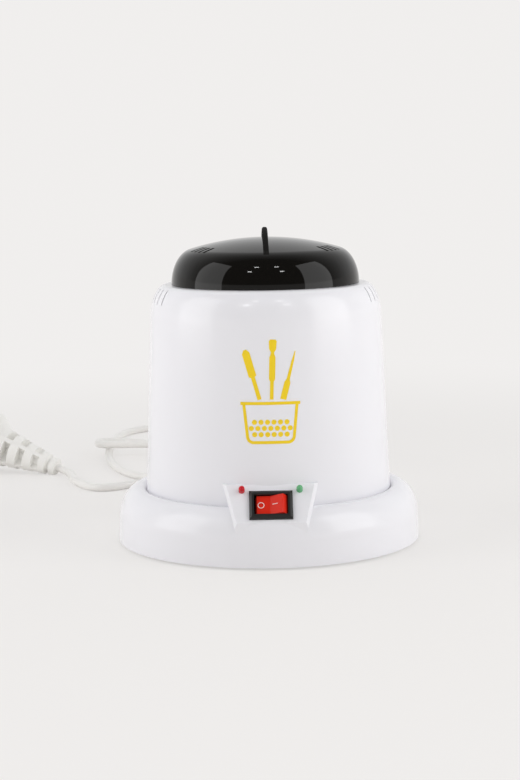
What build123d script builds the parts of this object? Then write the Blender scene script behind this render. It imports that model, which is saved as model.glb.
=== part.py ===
from build123d import *
from math import cos, radians, sin, tan
import os

os.makedirs("parts", exist_ok=True)

# Countertop glass bead sterilizer, in millimetres, +Z up.
# The origin lies on the surface it stands on, below the centre of the round housing.
# The switch faces -Y and the mains cord leaves at +Y.

# Housing: round skirt, tapered body and rounded shoulder, one moulding
wall = 2.5
skirt_radius = 77.5
skirt_bottom = 1.2
skirt_draft = 0.5
skirt_waist = 13.0
crest_radius = skirt_radius - 11.0
crest_height = 28.6
foot_radius = 62.9
foot_height = 26.4
shoulder_radius = 59.0
shoulder_start = 115.0
shoulder_width = 8.0
housing_top = 132.0

# Switch block: the wedge on the front, with its tilted panel
panel_tilt = 38.0
panel_y = 8.5 - skirt_radius
panel_z = 30.0
block_front = skirt_radius - 2.8
block_top = 39.2
block_bottom = 15.0
block_half_top = 23.2
block_half_bottom = 16.3
block_back = 40.0
block_bevel = 1.8

# Shoulder vents
vent_count = 9
vent_pitch = 6.4
vent_width = 0.9
vent_low = 123.5
vent_high = 130.7

# Lid
lid_radius = 47.9
lid_wall = 2.2
lid_corner_width = 11.9
lid_corner_height = 18.2
lid_corner_angle = 79.0
dome_rise = 5.57
lip_radius = lid_radius - 2.8
lip_wall = 1.5
lip_depth = 2.2
lip_root = 2.5
fin_thickness = 2.6
fin_half_length = lid_radius - 5.9
fin_top = 160.4
fin_foot = 147.0
fin_rounding = 0.9
slot_count = 4
slot_pitch = 6.0
slot_width = 1.2
slot_inner = lid_radius - 14.7
slot_outer = lid_radius - 9.4
slot_angles = (-30.0, 30.0, 150.0, 210.0)

# Pot, beads and everything wrapped round the pot
pot_radius = 28.5
pot_wall = 1.0
pot_depth = 65.0
pot_corner = 5.0
pot_flange = pot_radius + 5.5
bead_fill = 48.0
bead_mound = 1.5
heater_gap = 0.2
heater_wall = 2.5
heater_low = 72.0
heater_high = 110.0
heater_split = 4.0
ear_length = 4.8
ear_thickness = 1.0
ear_height = 14.0
can_radius = pot_radius + 8.9
can_wall = 0.6
can_bottom = 57.4
can_flange = lip_radius - 0.1
can_flange_thickness = 0.8
ring_thickness = 1.0
ring_hole = pot_radius + 0.5
ring_screw_radius = can_radius + 3.0
sleeve_top = 125.5
sleeve_slit = 18.0
pad_inner = 22.0

# Recess in the top of the housing, where the ring and the lid's lip sit
fit_gap = 0.3
recess_radius = lip_radius + fit_gap
recess_depth = 4.5
well_radius = can_radius + 0.6

# Fasteners
screw_clearance = 0.05
screw_radius = 1.45
screw_hole = 1.7
head_radius = 2.6
head_height = 1.6
boss_radius = 3.4

# Base
plate_gap = 0.5
plate_bottom = 3.2
plate_thickness = 2.0
base_screw_circle = skirt_radius - 10.0
base_screw_length = 10.0
foot_circle = skirt_radius - 15.5
foot_size = 6.0
foot_stem = 2.4
cool_slot_count = 12
cool_slot_width = 2.6
cool_slot_length = 14.0
cool_slot_circle = 20.0

# Rocker switch: sizes along the panel (u), up the panel (v) and out of it (w)
bezel_length = 21.0
bezel_width = 15.0
bezel_height = 2.0
bezel_bevel = 1.2
switch_length = 19.0
switch_width = 12.6
switch_depth = 14.5
switch_gap = 0.2
rocker_opening_length = 16.4
rocker_opening_width = 10.4
rocker_side_gap = 0.25
rocker_swing = 24.0
rocker_radius = 8.05
rocker_pivot = 1.0
rocker_dip = 1.6
rocker_face = 6.4
cavity_depth = 12.0
pin_radius = 1.0
plunger_radius = 1.2
plunger_tip = 8.2
post_half = 2.2
post_length = 3.6
lever_top = 9.45
lever_thickness = 0.6
lever_half_length = 5.5
lever_half_width = 2.0
lever_swing = 14.4
blade_width = 4.8
blade_thickness = 0.8
blade_length = 7.0

# Indicator lamps
lamp_radius = 1.5
lamp_flange = 1.9
lamp_across = 14.0
lamp_up = 8.3
lamp_proud = 3.6
board_thickness = 1.6

# Mains cord
cord_radius = 2.4
cord_exit_height = 12.0
bushing_tip = skirt_radius + 34.5
bushing_neck = 4.8
bushing_root = 6.2
bushing_end = 3.6
clamp_y = skirt_radius - 17.5
clamp_half = 12.0
clamp_screw_x = 8.5

panel = Plane(
    origin=(0, panel_y, panel_z),
    x_dir=(1, 0, 0),
    z_dir=(0, -cos(radians(panel_tilt)), sin(radians(panel_tilt))),
)
deck = housing_top - recess_depth
flange_top = deck + can_flange_thickness
ring_top = flange_top + ring_thickness
pot_top = ring_top + pot_wall
pot_floor = pot_top - pot_depth
plate_top = plate_bottom + plate_thickness


# The housing's half section, with its skin moved in by inset
def housing_section(inset):
    side_radius = skirt_radius - skirt_draft - inset
    bottom = skirt_bottom - inset
    flank_slope = (foot_radius - shoulder_radius) / (shoulder_start - foot_height)
    corner_height = foot_height - 1.5 * inset
    corner_radius = foot_radius - inset + flank_slope * (foot_height - corner_height)
    with BuildSketch(Plane.XZ) as section:
        with BuildLine():
            Line((0, bottom), (skirt_radius - inset, bottom))
            Line((skirt_radius - inset, bottom), (side_radius, skirt_waist))
            roll = EllipticalCenterArc(
                (crest_radius, skirt_waist),
                side_radius - crest_radius,
                crest_height - inset - skirt_waist,
                start_angle=0,
                arc_size=90,
            )
            if inset:
                crest = Line(roll @ 1, (corner_radius, corner_height))
            else:
                crest = TangentArc(roll @ 1, (foot_radius, foot_height), tangent=(-1, 0))
            Line(crest @ 1, (shoulder_radius - inset, shoulder_start))
            shoulder = EllipticalCenterArc(
                (shoulder_radius - shoulder_width, shoulder_start),
                shoulder_width - inset,
                housing_top - inset - shoulder_start,
                start_angle=0,
                arc_size=90,
            )
            Line(shoulder @ 1, (0, housing_top - inset))
            Line((0, housing_top - inset), (0, bottom))
        make_face()
    return section.sketch


# The switch block, with its walls moved in by inset
def switch_block(inset):
    slope = tan(radians(panel_tilt))
    y0 = panel_y + inset * cos(radians(panel_tilt))
    z0 = panel_z - inset * sin(radians(panel_tilt))
    front = -block_front + inset
    top = block_top - 0.8 * inset
    drop = block_bottom - wall
    spread = (block_half_top - block_half_bottom) / (block_top - block_bottom)
    half_top = block_half_top - inset - spread * inset
    half_low = block_half_bottom - inset - spread * wall
    with BuildPart() as block:
        with BuildSketch(Plane.YZ):
            with BuildLine():
                Polyline(
                    (-block_back, drop),
                    (front, drop),
                    (front, z0 + (front - y0) / slope),
                    (y0 + (top - z0) * slope, top),
                    (-block_back, top),
                    close=True,
                )
            make_face()
        extrude(amount=block_half_top, both=True)
        with BuildSketch(Plane.XZ):
            with BuildLine():
                Polyline(
                    (-half_low, drop),
                    (half_low, drop),
                    (half_top, top),
                    (-half_top, top),
                    close=True,
                )
            make_face()
        extrude(amount=skirt_radius, mode=Mode.INTERSECT)
        if not inset:
            face = block.faces().sort_by(Axis(panel.origin, panel.z_dir))[-1]
            chamfer(face.edges().filter_by(Axis.X, reverse=True), length=block_bevel)
    return block.part


# The space inside the housing
with BuildPart() as housing_hollow:
    add(housing_section(wall))
    revolve(axis=Axis.Z)
    add(switch_block(wall))

# Housing
with BuildPart() as housing:
    add(housing_section(0))
    revolve(axis=Axis.Z)
    add(switch_block(0))
    add(housing_hollow.part, mode=Mode.SUBTRACT)
    # The well's rim: a thicker annulus below the recess
    with BuildSketch(Plane.XY.offset(deck - wall)):
        Circle(recess_radius + wall)
        Circle(well_radius, mode=Mode.SUBTRACT)
    extrude(until=Until.NEXT)
    # Bosses below the recess for the ring's screws
    with BuildSketch(Plane.XY.offset(deck - 3 * wall)):
        with PolarLocations(ring_screw_radius, 3, start_angle=90):
            Circle(boss_radius)
        Circle(well_radius, mode=Mode.SUBTRACT)
    extrude(until=Until.NEXT)
    # The recess and the well
    with BuildSketch(Plane.XY.offset(deck)):
        Circle(recess_radius)
    extrude(amount=recess_depth, mode=Mode.SUBTRACT)
    with BuildSketch(Plane.XY.offset(deck - 3 * wall)):
        Circle(well_radius)
        with PolarLocations(ring_screw_radius, 3, start_angle=90):
            Circle(screw_radius + screw_clearance)
    extrude(amount=4 * wall, mode=Mode.SUBTRACT)
    # Bosses for the base screws, from the plate up into the skirt's roof
    with BuildSketch(Plane.XY.offset(plate_top)):
        with PolarLocations(base_screw_circle, 4, start_angle=30, angular_range=360):
            Circle(boss_radius)
    extrude(until=Until.NEXT)
    with BuildSketch(Plane.XY.offset(plate_top)):
        with PolarLocations(base_screw_circle, 4, start_angle=30, angular_range=360):
            Circle(screw_radius + screw_clearance)
    extrude(amount=base_screw_length + 1, mode=Mode.SUBTRACT)
    # Vents round the shoulder, a row on each side
    vent_from = shoulder_radius - shoulder_width + 1
    vent_to = shoulder_radius + 1
    with BuildSketch(Plane.XY.offset(vent_low)):
        for side in (0, 180):
            with PolarLocations(
                (vent_from + vent_to) / 2,
                vent_count,
                start_angle=side - vent_pitch * (vent_count - 1) / 2,
                angular_range=vent_pitch * (vent_count - 1),
                endpoint=True,
            ):
                Rectangle(vent_to - vent_from, vent_width)
    extrude(amount=vent_high - vent_low, mode=Mode.SUBTRACT)
    # Openings in the switch panel
    with BuildSketch(panel.offset(-2 * wall)):
        Rectangle(switch_length + 2 * switch_gap, switch_width + 2 * switch_gap)
        with Locations((-lamp_across, lamp_up), (lamp_across, lamp_up)):
            Circle(lamp_radius + screw_clearance)
    extrude(amount=3 * wall, mode=Mode.SUBTRACT)
    # Seat for the bezel where the skirt rises above the panel
    with BuildSketch(panel):
        Rectangle(bezel_length + 2 * switch_gap, bezel_width + 2 * switch_gap)
    extrude(amount=2 * bezel_height, mode=Mode.SUBTRACT)
    # Cord entry
    with BuildSketch(Plane((0, skirt_radius + 1, cord_exit_height), x_dir=(1, 0, 0), z_dir=(0, -1, 0))):
        Circle(bushing_neck + 2 * screw_clearance)
    extrude(amount=2 * wall + 1, mode=Mode.SUBTRACT)
housing.part.label = "housing"
export_step(housing.part, "parts/housing.step")


# The lid's half section, with its skin moved in by inset and closed at height bottom
def lid_section(inset, bottom):
    corner = Vector(lid_radius - lid_corner_width, housing_top)
    with BuildSketch(Plane.XZ) as section:
        with BuildLine():
            rim = Line((0, bottom), (lid_radius - inset, bottom))
            if bottom < housing_top:
                rim = Line(rim @ 1, (lid_radius - inset, housing_top))
            bend = EllipticalCenterArc(
                corner,
                lid_corner_width - inset,
                lid_corner_height - inset,
                start_angle=0,
                arc_size=lid_corner_angle,
            )
            crown = TangentArc(
                bend @ 1, (0, (bend @ 1).Y + dome_rise), tangent=bend % 1
            )
            Line(crown @ 1, (0, bottom))
        make_face()
    return section.sketch


# The lid's finger fin, before it is joined to the dome
with BuildPart() as fin:
    with BuildSketch(Plane.YZ):
        with BuildLine():
            ThreePointArc(
                (-fin_half_length, fin_foot), (0, fin_top), (fin_half_length, fin_foot)
            )
            Line((fin_half_length, fin_foot), (-fin_half_length, fin_foot))
        make_face()
    extrude(amount=fin_thickness / 2, both=True)
    fillet(fin.edges().filter_by(GeomType.CIRCLE), radius=fin_rounding)

# The space below the lid's dome
with BuildPart() as lid_hollow:
    add(lid_section(lid_wall, housing_top - 1))
    revolve(axis=Axis.Z)

# Lid, with its fin, vents and locating lip
with BuildPart() as lid:
    add(lid_section(0, housing_top))
    revolve(axis=Axis.Z)
    add(fin.part)
    add(lid_hollow.part, mode=Mode.SUBTRACT)
    with BuildSketch(Plane.XZ):
        with BuildLine():
            Polyline(
                (lip_radius - lip_wall, housing_top - lip_depth),
                (lip_radius, housing_top - lip_depth),
                (lip_radius, housing_top),
                (lid_radius - lid_wall / 2, housing_top),
                (lid_radius - lid_wall / 2, housing_top + lip_root),
                (lip_radius - lip_wall, housing_top + lip_root),
                close=True,
            )
        make_face()
    revolve(axis=Axis.Z)
    with BuildSketch(Plane.XY.offset(housing_top + lip_root + 1)):
        for centre in slot_angles:
            with PolarLocations(
                (slot_inner + slot_outer) / 2,
                slot_count,
                start_angle=centre - slot_pitch * (slot_count - 1) / 2,
                angular_range=slot_pitch * (slot_count - 1),
                endpoint=True,
            ):
                SlotOverall(slot_outer - slot_inner, slot_width)
    extrude(amount=fin_top - housing_top, mode=Mode.SUBTRACT)
lid.part.label = "lid"
export_step(lid.part, "parts/lid.step")

# Top ring that clamps the can's flange and carries the pot
with BuildPart() as top_ring:
    with BuildSketch(Plane.XY.offset(flange_top)):
        Circle(can_flange)
        Circle(ring_hole, mode=Mode.SUBTRACT)
        with PolarLocations(ring_screw_radius, 3, start_angle=90):
            Circle(screw_hole, mode=Mode.SUBTRACT)
    extrude(amount=ring_thickness)
top_ring.part.label = "top_ring"
export_step(top_ring.part, "parts/top_ring.step")


# A pan-head screw standing on its head's underside at the local origin, shank down
def pan_screw(length, shank=screw_radius, head=head_radius, height=head_height):
    with BuildPart() as screw:
        Cylinder(shank, length, align=(Align.CENTER, Align.CENTER, Align.MAX))
        Cylinder(head, height, align=(Align.CENTER, Align.CENTER, Align.MIN))
        fillet(screw.edges().sort_by(Axis.Z)[-1], radius=height / 2)
        with BuildSketch(Plane.XY.offset(height)):
            Rectangle(head, height / 4)
            Rectangle(height / 4, head)
        extrude(amount=-height / 2, mode=Mode.SUBTRACT)
    return screw.part


with BuildPart() as ring_screws:
    with Locations((0, 0, ring_top)):
        with PolarLocations(ring_screw_radius, 3, start_angle=90):
            add(pan_screw(2.5 * wall))
ring_screws.part.label = "ring_screws"
export_step(ring_screws.part, "parts/ring_screws.step")

# Pot: a deep-drawn cup hanging from its flange
with BuildPart() as pot:
    with BuildSketch(Plane.XZ):
        with BuildLine():
            FilletPolyline(
                (0, pot_floor), (pot_radius, pot_floor), (pot_radius, pot_top - pot_wall), radius=pot_corner
            )
            Polyline(
                (pot_radius, pot_top - pot_wall),
                (pot_flange, pot_top - pot_wall),
                (pot_flange, pot_top),
                (pot_radius - pot_wall, pot_top),
            )
            FilletPolyline(
                (pot_radius - pot_wall, pot_top),
                (pot_radius - pot_wall, pot_floor + pot_wall),
                (0, pot_floor + pot_wall),
                radius=pot_corner - pot_wall,
            )
            Line((0, pot_floor + pot_wall), (0, pot_floor))
        make_face()
    revolve(axis=Axis.Z)
pot.part.label = "pot"
export_step(pot.part, "parts/pot.step")

# Glass beads: the whole fill, slightly mounded, as it lies in the pot
bead_bottom = pot_floor + pot_wall + screw_clearance
bead_radius = pot_radius - pot_wall - screw_clearance
with BuildPart() as glass_beads:
    with BuildSketch(Plane.XZ):
        with BuildLine():
            FilletPolyline(
                (0, bead_bottom),
                (bead_radius, bead_bottom),
                (bead_radius, bead_bottom + bead_fill),
                radius=pot_corner - pot_wall,
            )
            Polyline(
                (bead_radius, bead_bottom + bead_fill),
                (bead_radius / 2, bead_bottom + bead_fill + 0.75 * bead_mound),
                (0, bead_bottom + bead_fill + bead_mound),
                (0, bead_bottom),
            )
        make_face()
    revolve(axis=Axis.Z)
glass_beads.part.label = "glass_beads"
export_step(glass_beads.part, "parts/glass_beads.step")

# Band heater: a split sleeve with two clamping ears at +X
heater_inner = pot_radius + heater_gap
heater_outer = heater_inner + heater_wall
ear_middle = (heater_low + heater_high) / 2
with BuildPart() as heater_band:
    with BuildSketch(Plane.XY.offset(heater_low)):
        Circle(heater_outer)
        Circle(heater_inner, mode=Mode.SUBTRACT)
        with Locations((heater_outer, 0)):
            Rectangle(2 * heater_wall + 2, heater_split, mode=Mode.SUBTRACT)
    extrude(amount=heater_high - heater_low)
    with BuildSketch(Plane.XY.offset(ear_middle - ear_height / 2)):
        with Locations(
            (heater_outer - 0.5, heater_split / 2 + ear_thickness / 2),
            (heater_outer - 0.5, -heater_split / 2 - ear_thickness / 2),
        ):
            Rectangle(ear_length + 0.5, ear_thickness, align=(Align.MIN, Align.CENTER))
    extrude(amount=ear_height)
    ear_x = heater_outer + ear_length / 2
    with BuildSketch(Plane((ear_x, 0, ear_middle), x_dir=(1, 0, 0), z_dir=(0, 1, 0))):
        Circle(screw_hole)
    extrude(amount=heater_split, both=True, mode=Mode.SUBTRACT)
heater_band.part.label = "heater_band"
export_step(heater_band.part, "parts/heater_band.step")

# Clamping screw through the ears, with its nut
ear_face = heater_split / 2 + ear_thickness
with BuildPart() as band_screw:
    with Locations(Plane((ear_x, -ear_face, ear_middle), x_dir=(1, 0, 0), z_dir=(0, -1, 0))):
        add(pan_screw(2 * ear_face + 3.4, head=ear_length / 2 - 0.1))
    with BuildSketch(Plane((ear_x, ear_face, ear_middle), x_dir=(0, 0, 1), z_dir=(0, 1, 0))):
        RegularPolygon(ear_length / 2 - 0.1, 6)
        Circle(screw_radius + screw_clearance, mode=Mode.SUBTRACT)
    extrude(amount=2.2)
band_screw.part.label = "band_screw"
export_step(band_screw.part, "parts/band_screw.step")

# Insulation: a wrapped sleeve that leaves a slit for the ears and the leads
with BuildPart() as insulation_sleeve:
    with BuildSketch(Plane.XY.offset(can_bottom + can_wall + screw_clearance)):
        Circle(can_radius - can_wall - fit_gap)
        Circle(heater_outer + fit_gap, mode=Mode.SUBTRACT)
        with Locations((can_radius, 0)):
            Rectangle(2 * (can_radius - heater_inner), sleeve_slit, mode=Mode.SUBTRACT)
    extrude(amount=sleeve_top - can_bottom - can_wall)
insulation_sleeve.part.label = "insulation_sleeve"
export_step(insulation_sleeve.part, "parts/insulation_sleeve.step")

# Pad below the pot, round the cut-out
with BuildPart() as insulation_pad:
    with BuildSketch(Plane.XY.offset(can_bottom + can_wall + screw_clearance)):
        Circle(heater_outer)
        Circle(pad_inner, mode=Mode.SUBTRACT)
        with Locations((can_radius, 0)):
            Rectangle(2 * (can_radius - pad_inner) + 2, sleeve_slit, mode=Mode.SUBTRACT)
    extrude(amount=pot_floor - can_bottom - can_wall - 2 * screw_clearance)
insulation_pad.part.label = "insulation_pad"
export_step(insulation_pad.part, "parts/insulation_pad.step")

# Shield can round the insulation, hung in the well by its flange
cutout_hole = 10.0
bracket_reach = 20.0
bracket_rivet = 17.0
rivet_radius = 1.5
lead_x = 30.0
lead_y = 5.0
with BuildPart() as shield_can:
    with BuildSketch(Plane.XZ):
        with BuildLine():
            Polyline(
                (0, can_bottom),
                (can_radius, can_bottom),
                (can_radius, deck),
                (can_flange, deck),
                (can_flange, flange_top),
                (can_radius - can_wall, flange_top),
                (can_radius - can_wall, can_bottom + can_wall),
                (0, can_bottom + can_wall),
                close=True,
            )
        make_face()
    revolve(axis=Axis.Z)
    with BuildSketch(Plane.XY.offset(can_bottom)):
        Circle(cutout_hole)
        with Locations((-bracket_rivet, 0), (bracket_rivet, 0)):
            Circle(rivet_radius + screw_clearance)
        with Locations((lead_x, 0)):
            SlotCenterToCenter(2 * lead_y, 4, rotation=90)
    extrude(amount=can_wall, mode=Mode.SUBTRACT)
    with BuildSketch(Plane.XY.offset(deck)):
        with PolarLocations(ring_screw_radius, 3, start_angle=90):
            Circle(screw_hole)
    extrude(amount=can_flange_thickness, mode=Mode.SUBTRACT)
shield_can.part.label = "shield_can"
export_step(shield_can.part, "parts/shield_can.step")

# Bimetal cut-out pressed against the pot, with two blade terminals
cap_radius = 8.0
cap_height = 2.0
cutout_radius = 6.6
cutout_height = 9.0
with BuildPart() as bimetal_cutout:
    with BuildSketch(Plane.XY.offset(pot_floor)):
        Circle(cap_radius)
    extrude(amount=-cap_height)
    fillet(bimetal_cutout.edges().sort_by(Axis.Z)[-1], radius=0.5)
    with BuildSketch(Plane.XY.offset(pot_floor - cap_height)):
        Circle(cutout_radius)
    extrude(amount=-(cutout_height - cap_height))
    with BuildSketch(Plane.XY.offset(pot_floor - cutout_height)):
        with Locations((-3.6, 0), (3.6, 0)):
            Rectangle(blade_thickness, blade_width)
    extrude(amount=-blade_length)
bimetal_cutout.part.label = "bimetal_cutout"
export_step(bimetal_cutout.part, "parts/bimetal_cutout.step")

# Hat-shaped bracket that holds the cut-out up
strap = 1.0
hat = pot_floor - cap_height
bracket_foot = can_bottom + can_wall
with BuildPart() as cutout_bracket:
    with BuildSketch(Plane.XZ):
        with BuildLine():
            Polyline(
                (-bracket_reach, bracket_foot),
                (-bracket_rivet + 4, bracket_foot),
                (-bracket_rivet + 4, hat - strap),
                (bracket_rivet - 4, hat - strap),
                (bracket_rivet - 4, bracket_foot),
                (bracket_reach, bracket_foot),
                (bracket_reach, bracket_foot + strap),
                (bracket_rivet - 3, bracket_foot + strap),
                (bracket_rivet - 3, hat),
                (-bracket_rivet + 3, hat),
                (-bracket_rivet + 3, bracket_foot + strap),
                (-bracket_reach, bracket_foot + strap),
                close=True,
            )
        make_face()
    extrude(amount=cap_radius, both=True)
    with BuildSketch(Plane.XY.offset(bracket_foot)):
        Circle(cutout_radius + fit_gap)
        with Locations((-bracket_rivet, 0), (bracket_rivet, 0)):
            Circle(rivet_radius + screw_clearance)
    extrude(amount=hat - bracket_foot, mode=Mode.SUBTRACT)
cutout_bracket.part.label = "cutout_bracket"
export_step(cutout_bracket.part, "parts/cutout_bracket.step")

with BuildPart() as bracket_rivets:
    for x in (-bracket_rivet, bracket_rivet):
        with Locations((x, 0, can_bottom)):
            Cylinder(2 * rivet_radius, 1, align=(Align.CENTER, Align.CENTER, Align.MAX))
            Cylinder(rivet_radius, can_wall + strap, align=(Align.CENTER, Align.CENTER, Align.MIN))
        with Locations((x, 0, bracket_foot + strap)):
            Cylinder(1.6 * rivet_radius, 0.8, align=(Align.CENTER, Align.CENTER, Align.MIN))
bracket_rivets.part.label = "bracket_rivets"
export_step(bracket_rivets.part, "parts/bracket_rivets.step")

# One-shot fuse in its sleeve, held below the can by a riveted saddle
fuse_radius = 2.0
fuse_y = -20.0
fuse_z = can_bottom - fuse_radius - screw_clearance
with BuildPart() as fuse:
    with BuildSketch(Plane((-7, fuse_y, fuse_z), x_dir=(0, 1, 0), z_dir=(1, 0, 0))):
        Circle(fuse_radius)
    extrude(amount=14)
    chamfer(fuse.edges(), length=0.5)
fuse.part.label = "fuse"
export_step(fuse.part, "parts/fuse.step")

saddle = fuse_radius + 0.1
with BuildPart() as fuse_clip:
    with BuildSketch(Plane.YZ):
        with BuildLine():
            Polyline(
                (fuse_y - 7, can_bottom),
                (fuse_y - 7, can_bottom - 0.6),
                (fuse_y - saddle - 0.6, can_bottom - 0.6),
                (fuse_y - saddle - 0.6, fuse_z),
            )
            ThreePointArc(
                (fuse_y - saddle - 0.6, fuse_z),
                (fuse_y, fuse_z - saddle - 0.6),
                (fuse_y + saddle + 0.6, fuse_z),
            )
            Polyline(
                (fuse_y + saddle + 0.6, fuse_z),
                (fuse_y + saddle + 0.6, can_bottom - 0.6),
                (fuse_y + 7, can_bottom - 0.6),
                (fuse_y + 7, can_bottom),
                (fuse_y + saddle, can_bottom),
                (fuse_y + saddle, fuse_z),
            )
            ThreePointArc(
                (fuse_y + saddle, fuse_z), (fuse_y, fuse_z - saddle), (fuse_y - saddle, fuse_z)
            )
            Polyline(
                (fuse_y - saddle, fuse_z), (fuse_y - saddle, can_bottom), (fuse_y - 7, can_bottom)
            )
        make_face()
    extrude(amount=3, both=True)
fuse_clip.part.label = "fuse_clip"
export_step(fuse_clip.part, "parts/fuse_clip.step")

# Base plate, with cooling slots, screw holes, foot holes and the cord's pedestal
plate_radius = skirt_radius - wall - plate_gap
block_x = -30.0
block_y = 18.0
pedestal = cord_exit_height - cord_radius - plate_top
with BuildPart() as base_plate:
    with BuildSketch(Plane.XY.offset(plate_bottom)):
        Circle(plate_radius)
        with PolarLocations(base_screw_circle, 4, start_angle=30, angular_range=360):
            Circle(screw_hole, mode=Mode.SUBTRACT)
        with PolarLocations(foot_circle, 4, start_angle=60, angular_range=360):
            Circle(foot_stem + 2 * screw_clearance, mode=Mode.SUBTRACT)
        with PolarLocations(cool_slot_circle, cool_slot_count):
            SlotOverall(cool_slot_length, cool_slot_width, mode=Mode.SUBTRACT)
    extrude(amount=plate_thickness)
    with BuildSketch(Plane.XY.offset(plate_top)):
        with Locations((0, clamp_y)):
            Rectangle(2 * clamp_half, 8)
        with Locations((block_x, block_y)):
            Circle(3)
    extrude(amount=pedestal)
    with BuildSketch(Plane.XY.offset(plate_top)):
        with Locations((-clamp_screw_x, clamp_y), (clamp_screw_x, clamp_y), (block_x, block_y)):
            Circle(screw_radius + screw_clearance)
    extrude(amount=pedestal, mode=Mode.SUBTRACT)
base_plate.part.label = "base_plate"
export_step(base_plate.part, "parts/base_plate.step")

with BuildPart() as base_screws:
    with Locations(Plane((0, 0, plate_bottom), x_dir=(1, 0, 0), z_dir=(0, 0, -1))):
        with PolarLocations(base_screw_circle, 4, start_angle=60, angular_range=360):
            add(pan_screw(plate_thickness + base_screw_length))
base_screws.part.label = "base_screws"
export_step(base_screws.part, "parts/base_screws.step")

# Push-in rubber feet
with BuildPart() as rubber_feet:
    with BuildSketch():
        with PolarLocations(foot_circle, 4, start_angle=60, angular_range=360):
            Circle(foot_size)
    extrude(amount=plate_bottom)
    chamfer(rubber_feet.edges().group_by(Axis.Z)[0], length=0.6)
    with BuildSketch(Plane.XY.offset(plate_bottom)):
        with PolarLocations(foot_circle, 4, start_angle=60, angular_range=360):
            Circle(foot_stem)
    extrude(amount=plate_thickness)
    with BuildSketch(Plane.XY.offset(plate_top)):
        with PolarLocations(foot_circle, 4, start_angle=60, angular_range=360):
            Circle(foot_stem + 0.8)
    extrude(amount=2, taper=20)
rubber_feet.part.label = "rubber_feet"
export_step(rubber_feet.part, "parts/rubber_feet.step")

# Switch body: bezel, moulded box, cavity, trunnion holes, snap hooks and blade slots
with BuildPart() as switch_body:
    with BuildSketch(panel):
        Rectangle(bezel_length, bezel_width)
    extrude(amount=bezel_height)
    rim = switch_body.faces().sort_by(Axis(panel.origin, panel.z_dir))[-1]
    chamfer(rim.edges(), length=bezel_bevel, length2=bezel_bevel / 1.5, reference=rim)
    with BuildSketch(panel):
        Rectangle(switch_length, switch_width)
    extrude(amount=-switch_depth)
    with BuildSketch(Plane(panel.location * Pos(0, 0, -wall - switch_gap) * Rot(90, 0, 0))):
        for side in (-1, 1):
            with BuildLine():
                Polyline(
                    (side * switch_length / 2, 0),
                    (side * (switch_length / 2 + 0.9), 0),
                    (side * switch_length / 2, -3),
                    close=True,
                )
            make_face()
    extrude(amount=2, both=True)
    with BuildSketch(panel.offset(-cavity_depth)):
        Rectangle(rocker_opening_length, rocker_opening_width)
    extrude(amount=cavity_depth + bezel_height, mode=Mode.SUBTRACT)
    with BuildSketch(Plane(panel.location * Pos(0, 0, -rocker_pivot) * Rot(90, 0, 0))):
        Circle(pin_radius + screw_clearance)
    extrude(amount=switch_width / 2 - 0.1, both=True, mode=Mode.SUBTRACT)
    with BuildSketch(panel.offset(-switch_depth)):
        with Locations((0, 0), (-lever_half_length + 0.5, 0)):
            Rectangle(blade_thickness + 2 * screw_clearance, blade_width + 2 * screw_clearance)
    extrude(amount=switch_depth - cavity_depth, mode=Mode.SUBTRACT)
switch_body.part.label = "switch_body"
export_step(switch_body.part, "parts/switch_body.step")

# The rocker's own plane: its pivot, tilted to the off side
pivot = panel.location * Pos(0, 0, -rocker_pivot)
rocker_rest = Plane(pivot * Rot(0, -rocker_swing / 2, 0) * Rot(90, 0, 0))
half_v = rocker_opening_width / 2 - rocker_side_gap
slope = tan(radians(rocker_swing / 2))
tip = rocker_dip + slope * rocker_face
low_angle = 15.0
low = Vector(rocker_radius * cos(radians(low_angle)), -rocker_radius * sin(radians(low_angle)))
with BuildPart() as rocker:
    with BuildSketch(rocker_rest):
        with BuildLine():
            Polyline((-rocker_radius, 0), (-rocker_face, tip), (0, rocker_dip), (rocker_face, tip), (rocker_radius, 0))
            RadiusArc((rocker_radius, 0), (low.X, low.Y), -rocker_radius)
            Polyline(
                (low.X, low.Y),
                (low.X - 1.4, low.Y + 0.4),
                (low.X - 1.8, 0.6),
                (post_half, 0.2),
                (post_half, -post_length),
                (-post_half, -post_length),
                (-post_half, 0.2),
                (-low.X + 1.8, 0.6),
                (-low.X + 1.4, low.Y + 0.4),
                (-low.X, low.Y),
            )
            RadiusArc((-low.X, low.Y), (-rocker_radius, 0), -rocker_radius)
        make_face()
    extrude(amount=half_v, both=True)
    with BuildSketch(rocker_rest):
        Circle(pin_radius)
    extrude(amount=switch_width / 2 - 0.3, both=True)
    with BuildSketch(Plane(rocker_rest.location * Pos(0, -post_length, 0) * Rot(-90, 0, 0))):
        Circle(plunger_radius + screw_clearance)
    extrude(amount=post_length, mode=Mode.SUBTRACT)
rocker.part.label = "rocker"
export_step(rocker.part, "parts/rocker.step")

# Spring-loaded plunger in the rocker's post, which tips the contact lever
with BuildPart() as rocker_plunger:
    with BuildSketch(rocker_rest):
        with BuildLine():
            shank_end = plunger_tip - plunger_radius
            Polyline(
                (0, -shank_end - plunger_radius),
                (0, -fit_gap),
                (plunger_radius, -fit_gap),
                (plunger_radius, -shank_end),
            )
            CenterArc((0, -shank_end), plunger_radius, 270, 90)
        make_face()
    revolve(axis=Axis(rocker_rest.origin, rocker_rest.y_dir))
rocker_plunger.part.label = "rocker_plunger"
export_step(rocker_plunger.part, "parts/rocker_plunger.step")

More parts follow.
